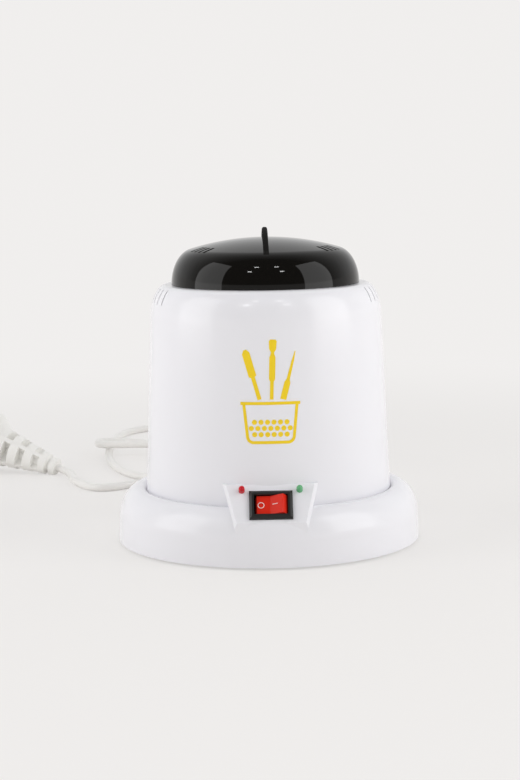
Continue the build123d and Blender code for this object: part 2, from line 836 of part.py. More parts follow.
# Contact lever, rocking on the middle terminal, at rest tipped away from the side contact
lever_pivot = lever_top + lever_thickness
lever_place = panel.location * Pos(0, 0, -lever_pivot) * Rot(0, lever_swing / 2, 0)
contact_u = lever_half_length - 0.5
contact_height = 0.3
with BuildPart() as contact_lever:
    with BuildSketch(Plane(lever_place)):
        Rectangle(2 * lever_half_length, 2 * lever_half_width)
    extrude(amount=lever_thickness)
    with BuildSketch(Plane(lever_place)):
        with Locations((-contact_u, 0)):
            Circle(1.0)
    extrude(amount=-contact_height)
contact_lever.part.label = "contact_lever"
export_step(contact_lever.part, "parts/contact_lever.step")

# Two blade terminals: the middle one is the lever's fulcrum, the other its fixed contact
fulcrum_w = lever_pivot + 0.15
contact_w = lever_pivot + contact_u * sin(radians(lever_swing / 2)) + contact_height + 0.1
blade_end = switch_depth + blade_length
with BuildPart() as switch_terminals:
    with BuildSketch(panel.offset(-blade_end)):
        Rectangle(blade_thickness, blade_width)
    extrude(amount=blade_end - fulcrum_w)
    with BuildSketch(panel.offset(-blade_end)):
        with Locations((-contact_u, 0)):
            Rectangle(blade_thickness, blade_width)
    extrude(amount=blade_end - contact_w)
switch_terminals.part.label = "switch_terminals"
export_step(switch_terminals.part, "parts/switch_terminals.step")

# Lamp board behind the panel, above the switch
board_w = 2 * wall + 1.0
board_low = switch_width / 2 + 0.6
board_width = 5.0
with BuildPart() as lamp_board:
    with BuildSketch(panel.offset(-board_w)):
        with Locations((0, board_low + board_width / 2)):
            Rectangle(2 * lamp_across + 6, board_width)
    extrude(amount=-board_thickness)
lamp_board.part.label = "lamp_board"
export_step(lamp_board.part, "parts/lamp_board.step")

# Indicator lamps: domed bodies through the panel, flanges behind it, leads to the board
for name, side in (("lamp_red", -1), ("lamp_green", 1)):
    axis_place = panel.location * Pos(side * lamp_across, lamp_up, 0)
    lamp_side = Plane(axis_place * Rot(90, 0, 0))
    with BuildPart() as lamp:
        with BuildSketch(lamp_side):
            with BuildLine():
                Polyline(
                    (0, lamp_proud),
                    (0, -wall - 1),
                    (lamp_flange, -wall - 1),
                    (lamp_flange, -wall),
                    (lamp_radius, -wall),
                    (lamp_radius, lamp_proud - lamp_radius),
                )
                CenterArc((0, lamp_proud - lamp_radius), lamp_radius, 0, 90)
            make_face()
        revolve(axis=Axis(lamp_side.origin, lamp_side.y_dir))
        with BuildSketch(Plane(axis_place * Pos(0, 0, -board_w))):
            with Locations((-0.9, 0), (0.9, 0)):
                Rectangle(0.5, 0.5)
        extrude(amount=board_w - wall - 1)
    lamp.part.label = name
    export_step(lamp.part, "parts/" + name + ".step")

# Dropper resistors for the lamps, on the back of the board
with BuildPart() as lamp_resistors:
    for u in (-9.0, 9.0):
        start = panel.location * Pos(u - 3, board_low + board_width / 2, -board_w - board_thickness - 1.15)
        with BuildSketch(Plane(start * Rot(0, 90, 0))):
            Circle(1.1)
        extrude(amount=6)
    chamfer(lamp_resistors.edges(), length=0.3)
lamp_resistors.part.label = "lamp_resistors"
export_step(lamp_resistors.part, "parts/lamp_resistors.step")

# Screw terminal block on its boss
block_length = 26.0
block_depth = 15.0
block_height = 12.0
block_floor = plate_top + pedestal
way_offset = 8.0
way_radius = 1.95
way_z = block_floor + block_height / 2
with BuildPart() as terminal_block:
    with BuildSketch(Plane.XY.offset(block_floor)):
        with Locations((block_x, block_y)):
            RectangleRounded(block_length, block_depth, 1.5)
            Circle(screw_hole, mode=Mode.SUBTRACT)
    extrude(amount=block_height)
    with BuildSketch(Plane((block_x, block_y, way_z), x_dir=(1, 0, 0), z_dir=(0, 1, 0))):
        with Locations((-way_offset, 0), (way_offset, 0)):
            Circle(way_radius + screw_clearance)
    extrude(amount=block_depth, both=True, mode=Mode.SUBTRACT)
    with BuildSketch(Plane.XY.offset(way_z)):
        with Locations((block_x, block_y)):
            with GridLocations(2 * way_offset, block_depth / 2, 2, 2):
                Circle(screw_radius + screw_clearance)
    extrude(amount=block_height, mode=Mode.SUBTRACT)
terminal_block.part.label = "terminal_block"
export_step(terminal_block.part, "parts/terminal_block.step")

with BuildPart() as terminal_tubes:
    with BuildSketch(Plane((block_x, block_y, way_z), x_dir=(1, 0, 0), z_dir=(0, 1, 0))):
        with Locations((-way_offset, 0), (way_offset, 0)):
            Circle(way_radius)
            Circle(1.25, mode=Mode.SUBTRACT)
    extrude(amount=block_depth / 2 - 1, both=True)
terminal_tubes.part.label = "terminal_tubes"
export_step(terminal_tubes.part, "parts/terminal_tubes.step")

with BuildPart() as terminal_screws:
    with BuildSketch(Plane.XY.offset(way_z + way_radius + screw_clearance)):
        with Locations((block_x, block_y)):
            with GridLocations(2 * way_offset, block_depth / 2, 2, 2):
                Circle(screw_radius)
    extrude(amount=3)
    with Locations((block_x, block_y, block_floor + block_height)):
        add(pan_screw(block_height + pedestal - 1))
terminal_screws.part.label = "terminal_screws"
export_step(terminal_screws.part, "parts/terminal_screws.step")

# Cord bushing: flange inside, neck in the wall, ribbed taper outside
cord_axis = Axis((0, 0, cord_exit_height), (0, 1, 0))
wall_inside = skirt_radius - skirt_draft - wall
neck_start = wall_inside - 0.9
neck_end = skirt_radius - 0.2
with BuildPart() as cord_bushing:
    with BuildSketch(Plane.XY.offset(cord_exit_height)):
        with BuildLine():
            Polyline(
                (cord_radius + screw_clearance, neck_start - 2.4),
                (bushing_neck + 1, neck_start - 2.4),
                (bushing_neck + 1, neck_start),
                (bushing_neck, neck_start),
                (bushing_neck, neck_end),
                (bushing_root, neck_end),
                (bushing_root, neck_end + 2.5),
                (bushing_end, bushing_tip),
                (cord_radius + screw_clearance, bushing_tip),
                close=True,
            )
        make_face()
    revolve(axis=cord_axis)
    rib_pitch = (bushing_tip - neck_end - 2.5) / 7
    with BuildSketch(Plane.XY.offset(cord_exit_height)):
        for i in range(6):
            with Locations((bushing_root + 2, neck_end + 2.5 + (i + 0.7) * rib_pitch)):
                Rectangle(2 * (bushing_root - bushing_end) + 2 + 0.55 * i, rib_pitch / 3)
    revolve(axis=cord_axis, mode=Mode.SUBTRACT)
cord_bushing.part.label = "cord_bushing"
export_step(cord_bushing.part, "parts/cord_bushing.step")

# The cord's length inside the bushing and the housing
tail_end = clamp_y - 6
with BuildPart() as cord_tail:
    with BuildSketch(Plane((0, bushing_tip, cord_exit_height), x_dir=(1, 0, 0), z_dir=(0, -1, 0))):
        Circle(cord_radius)
    extrude(amount=bushing_tip - tail_end)
cord_tail.part.label = "cord_tail"
export_step(cord_tail.part, "parts/cord_tail.step")

# Saddle that clamps the cord to the base plate, and its two screws
saddle_in = cord_radius + 0.1
saddle_out = saddle_in + 1.2
with BuildPart() as cord_clamp:
    with BuildSketch(Plane.XZ.offset(-clamp_y)):
        with BuildLine():
            Polyline(
                (-saddle_in, cord_exit_height),
                (-saddle_in, block_floor),
                (-clamp_half, block_floor),
                (-clamp_half, block_floor + 1.2),
                (-saddle_out, block_floor + 1.2),
                (-saddle_out, cord_exit_height),
            )
            ThreePointArc(
                (-saddle_out, cord_exit_height),
                (0, cord_exit_height + saddle_out),
                (saddle_out, cord_exit_height),
            )
            Polyline(
                (saddle_out, cord_exit_height),
                (saddle_out, block_floor + 1.2),
                (clamp_half, block_floor + 1.2),
                (clamp_half, block_floor),
                (saddle_in, block_floor),
                (saddle_in, cord_exit_height),
            )
            ThreePointArc(
                (saddle_in, cord_exit_height),
                (0, cord_exit_height + saddle_in),
                (-saddle_in, cord_exit_height),
            )
        make_face()
    extrude(amount=3.5, both=True)
    with BuildSketch(Plane.XY.offset(block_floor)):
        with Locations((-clamp_screw_x, clamp_y), (clamp_screw_x, clamp_y)):
            Circle(screw_hole)
    extrude(amount=1.2, mode=Mode.SUBTRACT)
cord_clamp.part.label = "cord_clamp"
export_step(cord_clamp.part, "parts/cord_clamp.step")

with BuildPart() as clamp_screws:
    with Locations((-clamp_screw_x, clamp_y, block_floor + 1.2), (clamp_screw_x, clamp_y, block_floor + 1.2)):
        add(pan_screw(5))
clamp_screws.part.label = "clamp_screws"
export_step(clamp_screws.part, "parts/clamp_screws.step")


# Corner radii for a route: 0.45 of the shorter run over the tangent of half the turn
def corner_radii(route, limit=1000.0):
    radii = []
    for before, here, after in zip(route, route[1:], route[2:]):
        a = Vector(*here) - Vector(*before)
        b = Vector(*after) - Vector(*here)
        turn = radians(a.get_angle(b))
        radii.append(min(limit, 0.45 * min(a.length, b.length) / tan(turn / 2)))
    return radii


# A round tube along a route of straight runs joined by tangent arcs
def tube(route, radius):
    with BuildPart() as run:
        with BuildLine():
            path = FilletPolyline(*route, radius=corner_radii(route))
        with BuildSketch(Plane(origin=path @ 0, z_dir=path % 0)):
            Circle(radius)
        sweep(path=path)
    return run.part


# Inner wiring: supply cores, switch feed, and the heater's loop through fuse and cut-out
wire_radius = 1.0
core = 1.1
way_near = block_x + way_offset
way_far = block_x - way_offset
back = Vector(0, panel_y, panel_z) - panel.z_dir * blade_end
behind = back - panel.z_dir * 8
blade_tip = pot_floor - cutout_height - blade_length
band_y = lead_y
supply_live = [(-core, tail_end, 12), (-core, 46, 12), (way_far, 37, way_z), (way_far, block_y + 4, way_z)]
supply_neutral = [(core, tail_end, 12), (core, 42, 12), (way_near, 33, way_z), (way_near, block_y + 4, way_z)]
switch_feed = [
    (way_near, block_y - 4, way_z),
    (way_near, 2, way_z),
    (-contact_u, -34, behind.Z),
    (-contact_u, behind.Y, behind.Z),
    (-contact_u, back.Y, back.Z),
]
fuse_feed = [
    (0, back.Y, back.Z),
    (0, behind.Y, behind.Z),
    (8, -38, 14),
    (15, -30, 30),
    (15, -20.5, fuse_z - 5),
    (12, fuse_y, fuse_z),
    (7, fuse_y, fuse_z),
]
heater_feed = [
    (-7, fuse_y, fuse_z),
    (-13, fuse_y, fuse_z),
    (-15, -27, 46),
    (2, -38, 38),
    (26, -36, 38),
    (lead_x, -16, 46),
    (lead_x, -band_y, 54),
    (lead_x, -band_y, heater_low),
]
cutout_feed = [
    (way_far, block_y - 4, way_z),
    (way_far, 2, way_z),
    (-22, -2, 32),
    (-3.6, 0, 38),
    (-3.6, 0, blade_tip),
]
heater_return = [
    (3.6, 0, blade_tip),
    (3.6, 0, 40),
    (16, 3, 36),
    (lead_x, band_y, 44),
    (lead_x, band_y, heater_low),
]
with BuildPart() as inner_wires:
    for route in (supply_live, supply_neutral, switch_feed, fuse_feed, heater_feed, cutout_feed, heater_return):
        add(tube(route, wire_radius))
inner_wires.part.label = "inner_wires"
export_step(inner_wires.part, "parts/inner_wires.step")

# Free mains cord, about 1.2 m: out of the bushing, one wide loop behind the housing,
# a folded end that lies across the loop's left side, and round to the plug on the left
plug_heading = 158.0
plug_tilt = 16.5
plug_length = 54.0
neck_length = 36.0
collar = Vector(-128, 189, 4.75)
plug_start = Location(collar) * Rot(0, 0, plug_heading) * Rot(0, 90 - plug_tilt, 0)
plug_place = Plane(plug_start)
lay = cord_radius + 0.05
over = lay + 2 * cord_radius + 1.0
mains_route = [
    (0, bushing_tip, cord_exit_height),
    (0, 131, cord_exit_height),
    (7, 153, 11.2),
    (20, 175, 9.6),
    (35, 202, 5.0),
    (43, 236, lay),
    (42, 274, lay),
    (28, 312, lay),
    (0, 342, lay),
    (-35, 359, lay),
    (-69, 362, lay),
    (-93, 343, lay),
    (-101.5, 312, lay),
    (-104, 278, lay),
    (-103, 244, lay),
    (-99, 212, lay),
    (-90, 183, lay),
    (-73, 161, lay),
    (-47, 152, lay),
    (-20, 160, lay),
    (-1, 181, lay),
    (1, 210, lay),
    (-15, 235, lay + 1.5),
    (-43, 247, 6.2),
    (-72, 250, over),
    (-95, 249.5, over + 0.2),
    (-113, 249.5, over + 0.2),
    (-113.5, 264.5, over),
    (-96, 265.5, over - 0.2),
    (-70, 265, 6.0),
    (-40, 265, 3.2),
    (-9, 258, lay),
    (14, 238, lay),
    (23, 208, lay),
    (15, 175, lay),
    (-6, 150, lay),
    (-34, 139, lay),
    (-61, 146, lay),
    (-79, 141, lay),
    (-90, 131, lay),
    (-101, 131, lay),
    (-109, 143, lay),
    (-115, 157, lay),
    (-117, 171, lay),
    tuple(collar - 8 * plug_place.z_dir),
    tuple(collar),
]
with BuildPart() as mains_cord:
    add(tube(mains_route, cord_radius))
mains_cord.part.label = "mains_cord"
export_step(mains_cord.part, "parts/mains_cord.step")

# Plug: flexible neck with rings of windows, then a body that widens to its round front
plug_radius = 19.8
web_radius = 4.4
rib_width = 2.6
window = 4.6
with BuildPart() as plug_body:
    with BuildSketch(Plane(plug_start * Rot(90, 0, 0))):
        with BuildLine():
            neck = Polyline(
                (0, 0),
                (5.4, 0),
                (5.8, 3.4),
                (4.0, 4.2),
                (4.0, 5.6),
                (6.4, 6.4),
                (11.6, neck_length),
            )
            flare = Spline(
                neck @ 1,
                (plug_radius - 2.5, plug_length - 9),
                (plug_radius, plug_length - 3),
                tangents=((0.25, 1), (0.1, 1)),
            )
            Polyline(flare @ 1, (plug_radius - 1.5, plug_length), (0, plug_length), (0, 0))
        make_face()
    revolve(axis=Axis(collar, plug_place.z_dir))
    for ring in (10.5, 20.5, 30.5):
        with BuildSketch(Plane(plug_start * Pos(0, 0, ring))):
            Circle(plug_radius)
            Circle(web_radius, mode=Mode.SUBTRACT)
            Rectangle(2.5 * plug_radius, rib_width, rotation=45, mode=Mode.SUBTRACT)
            Rectangle(2.5 * plug_radius, rib_width, rotation=-45, mode=Mode.SUBTRACT)
        extrude(amount=window, mode=Mode.SUBTRACT)
plug_body.part.label = "plug_body"
export_step(plug_body.part, "parts/plug_body.step")

pin_length = 19.0
pin_spacing = 19.0
with BuildPart() as plug_pins:
    with BuildSketch(Plane(plug_start * Pos(0, 0, plug_length))):
        with Locations((0, -pin_spacing / 2), (0, pin_spacing / 2)):
            Circle(2.4)
    extrude(amount=pin_length)
    fillet(plug_pins.edges().sort_by(Axis(collar, plug_place.z_dir))[-2:], radius=1.6)
plug_pins.part.label = "plug_pins"
export_step(plug_pins.part, "parts/plug_pins.step")
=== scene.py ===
import math
import random

import bmesh
import bpy
from mathutils import Matrix, Vector


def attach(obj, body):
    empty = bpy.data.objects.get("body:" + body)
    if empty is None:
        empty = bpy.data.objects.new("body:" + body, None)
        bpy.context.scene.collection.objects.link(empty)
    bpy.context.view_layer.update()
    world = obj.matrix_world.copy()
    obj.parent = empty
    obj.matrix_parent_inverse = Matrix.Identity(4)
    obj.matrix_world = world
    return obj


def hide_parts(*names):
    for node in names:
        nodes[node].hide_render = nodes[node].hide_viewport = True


# Glass bead sterilizer, in metres. Front is -Y, the cord leaves at +Y.
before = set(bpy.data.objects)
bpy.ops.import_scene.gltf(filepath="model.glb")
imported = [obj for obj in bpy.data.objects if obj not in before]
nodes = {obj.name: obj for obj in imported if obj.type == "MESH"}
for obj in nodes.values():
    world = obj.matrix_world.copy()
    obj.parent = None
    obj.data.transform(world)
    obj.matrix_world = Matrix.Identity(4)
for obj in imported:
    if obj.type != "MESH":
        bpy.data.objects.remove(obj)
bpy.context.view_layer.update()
scene = bpy.context.scene
scene.view_settings.view_transform = "Standard"
mm = 0.001


# Small tools

class Wire:  # one output or one number of a shader tree, with maths
    def __init__(self, maker, socket):
        self.maker = maker
        self.socket = socket

    def maths(self, operation, first, second):
        return self.maker.add("ShaderNodeMath", {"operation": operation}, {0: first, 1: second})

    def __add__(self, other):
        return self.maths("ADD", self, other)

    def __radd__(self, other):
        return self.maths("ADD", other, self)

    def __sub__(self, other):
        return self.maths("SUBTRACT", self, other)

    def __rsub__(self, other):
        return self.maths("SUBTRACT", other, self)

    def __mul__(self, other):
        return self.maths("MULTIPLY", self, other)

    def __rmul__(self, other):
        return self.maths("MULTIPLY", other, self)

    def __truediv__(self, other):
        return self.maths("DIVIDE", self, other)

    def __lt__(self, other):  # 1 where it is less
        return self.maths("LESS_THAN", self, other)

    def __abs__(self):
        return self.maths("ABSOLUTE", self, 0)

    def fraction(self):
        return self.maths("FRACT", self, 0)

    def root(self):
        return self.maths("SQRT", self, 0)

    def larger(self, other):
        return self.maths("MAXIMUM", self, other)

    def turnTo(self, other):  # the angle of the point (other, self), in radians
        return self.maths("ARCTAN2", self, other)


class Finish:  # a material or the world being made
    def __init__(self, name, kind="materials"):
        self.material = getattr(bpy.data, kind).new(name)
        self.material.use_nodes = True
        self.tree = self.material.node_tree
        self.tree.nodes.clear()

    def add(self, kind, settings=None, values=None, out=0):
        made = self.tree.nodes.new(kind)
        for key, value in (settings or {}).items():
            if key == "stops":
                ramp = made.color_ramp
                while len(ramp.elements) < len(value):
                    ramp.elements.new(0.5)
                for element, (place, colour) in zip(ramp.elements, value):
                    element.position = place
                    element.color = (*colour, 1)
            else:
                setattr(made, key, value)
        for key, value in (values or {}).items():
            if isinstance(value, Wire):
                self.tree.links.new(value.socket, made.inputs[key])
            else:
                made.inputs[key].default_value = value
        return Wire(self, made.outputs[out]) if len(made.outputs) else None

    def place(self, out="Object"):
        return self.add("ShaderNodeTexCoord", out=out)

    def axis(self, spot, number):  # x, y or z of a place
        return self.add("ShaderNodeSeparateXYZ", {}, {"Vector": spot}, out=number)

    def noise(self, scale, detail=2.0, stretch=None, seed=0.0):
        where = self.place()
        if stretch or seed:
            where = self.add("ShaderNodeMapping", {}, {"Vector": where, "Scale": stretch or (1, 1, 1),
                                                       "Location": (seed, seed, seed)})
        return self.add("ShaderNodeTexNoise", {}, {"Vector": where, "Scale": scale, "Detail": detail})

    def ramp(self, value, stops):
        return self.add("ShaderNodeValToRGB", {"stops": stops}, {"Fac": value})

    def blend(self, factor, first, second):
        return self.add("ShaderNodeMix", {"data_type": "RGBA"}, {0: factor, 6: first, 7: second}, out=2)

    def tint(self, factor, colour, share):  # from a share of the colour to the colour itself
        return self.blend(factor, rgba(*[c * share for c in colour]), rgba(*colour))

    def smooth(self, value, start, end, first=0.0):  # from first at start to 1 at end
        return self.add("ShaderNodeMapRange", {"interpolation_type": "SMOOTHSTEP"},
                        {"Value": value, "From Min": start, "From Max": end, "To Min": first})

    def seen(self):  # 1 for what the camera sees, directly or in gloss or glass
        camera, gloss, glass = [self.add("ShaderNodeLightPath", out=ray) for ray in
                                ("Is Camera Ray", "Is Glossy Ray", "Is Transmission Ray")]
        return camera.larger(gloss).larger(glass)

    def bump(self, height, strength, distance):
        return self.add("ShaderNodeBump", {}, {"Height": height, "Strength": strength, "Distance": distance})

    def shine(self, **values):
        sockets = {spaced(key): value for key, value in values.items()}
        shader = self.add("ShaderNodeBsdfPrincipled", {}, sockets)
        self.add("ShaderNodeOutputMaterial", {}, {"Surface": shader})
        return self.material


def spaced(key):  # baseColor -> Base Color
    words = "".join(" " + letter if letter.isupper() else letter for letter in key)
    return {"specularIORLevel": "Specular IOR Level"}.get(key, words[0].upper() + words[1:])


def rgba(red, green, blue):
    return (red, green, blue, 1)


def dress(material, *names):
    for name in names:
        data = nodes[name].data
        data.materials.clear()
        data.materials.append(material)


def newMesh(name, build, material):
    mesh = bpy.data.meshes.new(name)
    shape = bmesh.new()
    build(shape)
    shape.normal_update()
    shape.to_mesh(mesh)
    shape.free()
    piece = bpy.data.objects.new(name, mesh)
    scene.collection.objects.link(piece)
    mesh.materials.append(material)
    return piece


def newPiece(name, build, material, body, smooth=True):
    piece = newMesh(name, build, material)
    for polygon in piece.data.polygons:
        polygon.use_smooth = smooth
    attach(piece, body)


# Camera at the photograph's place
cameraValues = {"place": (-0.015128, -0.935268, 0.204607), "lens": 84.675, "sensor": 36.0, "clipStart": 0.01,
                "forward": (0.01222446, 0.99071988, -0.13536867), "up": (0.01742104, 0.13514722, 0.99067237)}
forward = Vector(cameraValues["forward"]).normalized()
up = Vector(cameraValues["up"])
right = forward.cross(up).normalized()
up = right.cross(forward)
cameraData = bpy.data.cameras.new("camera")
cameraData.lens = cameraValues["lens"]
cameraData.sensor_width = cameraValues["sensor"]
cameraData.clip_start = cameraValues["clipStart"]
camera = bpy.data.objects.new("camera", cameraData)
turn = Matrix((right, up, -forward)).transposed().to_4x4()
camera.matrix_world = Matrix.Translation(cameraValues["place"]) @ turn
scene.collection.objects.link(camera)
scene.camera = camera

# White plastic of the cord, its bushing and its plug
whiteValues = {"cloud": 60, "share": 0.97, "gloss": 150, "glossSpread": 0.08, "bump": 0.15, "depth": 0.0001}


def whitePlastic(name, colour, roughness, grain):
    v = whiteValues
    finish = Finish(name)
    polish = roughness + v["glossSpread"] * finish.noise(v["gloss"], seed=3.0)
    return finish.shine(baseColor=finish.tint(finish.noise(v["cloud"], detail=3.0), colour, v["share"]),
                        roughness=polish, normal=finish.bump(finish.noise(grain), v["bump"], v["depth"]))


# Mains cord: near the CAD tube's route, with its fold set to the photograph, in millimetres here
cordValues = {
    "radius": 2.4,
    "length": 1.18,
    "roundSteps": 5,
    "alongSteps": 10,
    "route": [
        (0, 112, 12), (0, 131, 12), (7, 153, 11.2), (20, 175, 9.6), (35, 202, 5.0),
        (43, 236, 2.45), (42, 274, 2.45), (28, 312, 2.45), (0, 342, 2.45), (-35, 359, 2.45),
        (-69, 362, 2.45), (-92, 343, 2.45), (-100, 312, 2.45), (-101, 278, 2.45), (-100, 244, 2.45),
        (-96, 212, 2.45), (-87, 183, 2.45), (-73, 161, 2.45), (-47, 152, 2.45), (-20, 160, 2.45),
        (-1, 181, 2.45), (1, 210, 2.45), (-15, 235, 3.95), (-43, 247, 6.2), (-72, 250, 8.25),
        (-93, 249.5, 8.45), (-107, 249.5, 8.45), (-107.5, 264.5, 8.25), (-94, 265.5, 8.05), (-70, 265, 6.0),
        (-40, 265, 3.2), (-9, 258, 2.45), (14, 238, 2.45), (23, 208, 2.45), (15, 175, 2.45),
        (-6, 150, 2.45), (-34, 139, 2.45), (-61, 146, 2.45), (-79, 141, 2.45), (-90, 131, 2.45),
        (-101, 131, 2.45), (-109, 143, 2.45), (-115, 157, 2.45), (-117, 171, 2.45), (-120.89, 186.13, 2.48),
        (-128, 189, 4.75),
    ],
}
cordSheath = whitePlastic("cordSheath", colour=(0.89, 0.875, 0.85), roughness=0.32, grain=900)
curve = bpy.data.curves.new("mainsCordLine", "CURVE")
curve.dimensions = "3D"
curve.bevel_depth = cordValues["radius"] * mm
curve.bevel_resolution = cordValues["roundSteps"]
curve.resolution_u = cordValues["alongSteps"]
curve.use_fill_caps = True
spline = curve.splines.new("NURBS")
spline.points.add(len(cordValues["route"]) - 1)
for point, place in zip(spline.points, cordValues["route"]):
    point.co = (*[p * mm for p in place], 1)
spline.order_u = 3
spline.use_endpoint_u = True
curve.materials.append(cordSheath)
mainsCord = bpy.data.objects.new("mainsCordSoft", curve)
scene.collection.objects.link(mainsCord)
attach(mainsCord, "base")
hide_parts("mains_cord")
print("camera and cord made")


# Finishes for the carried-over pieces. "share" is how dark a colour's dark spots are.

housingValues = {"colour": (0.865, 0.86, 0.895), "share": 0.985, "cloud": 14, "roughness": 0.15, "gloss": 25,
                 "glossSpread": 0.03, "grain": 1500, "bump": 0.05, "depth": 0.00001, "specular": 0.4}


def housingPlastic():
    v = housingValues
    finish = Finish("housingPlastic")
    return finish.shine(baseColor=finish.tint(finish.noise(v["cloud"]), v["colour"], v["share"]),
                        roughness=v["roughness"] + v["glossSpread"] * finish.noise(v["gloss"], detail=1.0),
                        normal=finish.bump(finish.noise(v["grain"]), v["bump"], v["depth"]),
                        specularIORLevel=v["specular"])


lidValues = {  # the reaches and widths of the matt places are in millimetres, the slots' places in degrees
    "colour": (0.0026, 0.0021, 0.0015), "dusty": 1.6, "dust": 420, "wear": 35,
    "roughness": 0.03, "scuff": 0.03, "mattRoughness": 1.0, "bump": 0.04, "depth": 0.00005, "specular": 0.2,
    "finHalf": 1.4, "finReach": 40.5,
    "slotIn": 33.0, "slotOut": 39.8, "slotAt": 30.0, "slotPitch": 6.0, "slotHalf": 1.0, "pitchesEachSide": 2,
}


def lidMatt(finish):  # 1 on the fin, about 6 mm past its foot and round the slots, 0 on the polished dome
    v = lidValues
    spot = finish.place()
    x, y = [abs(finish.axis(spot, number)) / mm for number in (0, 1)]
    reach = (x * x + y * y).root()
    step = (y.turnTo(x) * math.degrees(1) - v["slotAt"]) / v["slotPitch"]
    offLine = abs(step.fraction() - 0.5) * math.radians(v["slotPitch"]) * reach
    inGroup = (abs(step) < v["pitchesEachSide"]) * (reach < v["slotOut"]) * (1 - (reach < v["slotIn"]))
    inSlot = (offLine < v["slotHalf"]) * inGroup
    return inSlot.larger((x < v["finHalf"]) * (y < v["finReach"]))


def lidPlastic():
    v = lidValues
    finish = Finish("lidPlastic")
    wear = finish.noise(v["wear"], detail=3.0, seed=5.0)
    polish = v["roughness"] + v["scuff"] * wear
    shade = finish.blend(finish.noise(v["dust"], detail=4.0), rgba(*v["colour"]),
                         rgba(*[c * v["dusty"] for c in v["colour"]]))
    return finish.shine(baseColor=shade, roughness=polish + lidMatt(finish) * (v["mattRoughness"] - polish),
                        normal=finish.bump(wear, v["bump"], v["depth"]), specularIORLevel=v["specular"])


mouldedValues = {"share": 0.9, "cloud": 40, "gloss": 200, "glossSpread": 0.1}
fineGrain = {"grain": 900, "depth": 0.00002, "strength": 0.1}  # for glossy and printed surfaces


def moulded(name, colour, roughness, grain=1200, depth=0.00008, strength=0.3, specular=0.5):
    v = mouldedValues
    finish = Finish(name)
    return finish.shine(baseColor=finish.tint(finish.noise(v["cloud"], detail=3.0), colour, v["share"]),
                        roughness=roughness + v["glossSpread"] * finish.noise(v["gloss"], seed=2.0),
                        normal=finish.bump(finish.noise(grain), strength, depth), specularIORLevel=specular)


metalValues = {"share": 0.88, "glossSpread": 0.15, "bump": 0.12, "depth": 0.00005}


def metal(name, colour, roughness, stretch=(1, 1, 30), scale=120):
    v = metalValues
    finish = Finish(name)
    brushed = finish.noise(scale, detail=3.0, stretch=stretch)
    return finish.shine(baseColor=finish.tint(brushed, colour, v["share"]), metallic=1.0,
                        roughness=roughness + v["glossSpread"] * brushed,
                        normal=finish.bump(brushed, v["bump"], v["depth"]))


fibreValues = {"share": 0.78, "strands": 500, "stretch": (1, 1, 4), "bump": 0.7, "depth": 0.0006,
               "sheen": 0.3}


def fibre(name, colour, roughness):
    v = fibreValues
    finish = Finish(name)
    strands = finish.noise(v["strands"], detail=5.0, stretch=v["stretch"])
    return finish.shine(baseColor=finish.tint(strands, colour, v["share"]), roughness=roughness,
                        normal=finish.bump(strands, v["bump"], v["depth"]), sheenWeight=v["sheen"])


lensValues = {"share": 0.8, "haze": 900, "glossSpread": 0.05, "glow": 0.05, "specular": 0.3}


def lens(name, colour, roughness):
    v = lensValues
    finish = Finish(name)
    haze = finish.noise(v["haze"])
    shade = finish.tint(haze, colour, v["share"])
    return finish.shine(baseColor=shade, roughness=roughness + v["glossSpread"] * haze, emissionColor=shade,
                        emissionStrength=v["glow"], specularIORLevel=v["specular"])


glassValues = {"dim": (0.86, 0.90, 0.89), "clear": (0.95, 0.97, 0.97), "cloud": 300, "roughness": 0.05,
               "gloss": 700, "glossSpread": 0.05, "specular": 0.7}


def glassBead():
    v = glassValues
    finish = Finish("clearGlass")
    shade = finish.blend(finish.noise(v["cloud"]), rgba(*v["dim"]), rgba(*v["clear"]))
    polish = v["roughness"] + v["glossSpread"] * finish.noise(v["gloss"], detail=1.0)
    return finish.shine(baseColor=shade, roughness=polish, specularIORLevel=v["specular"])


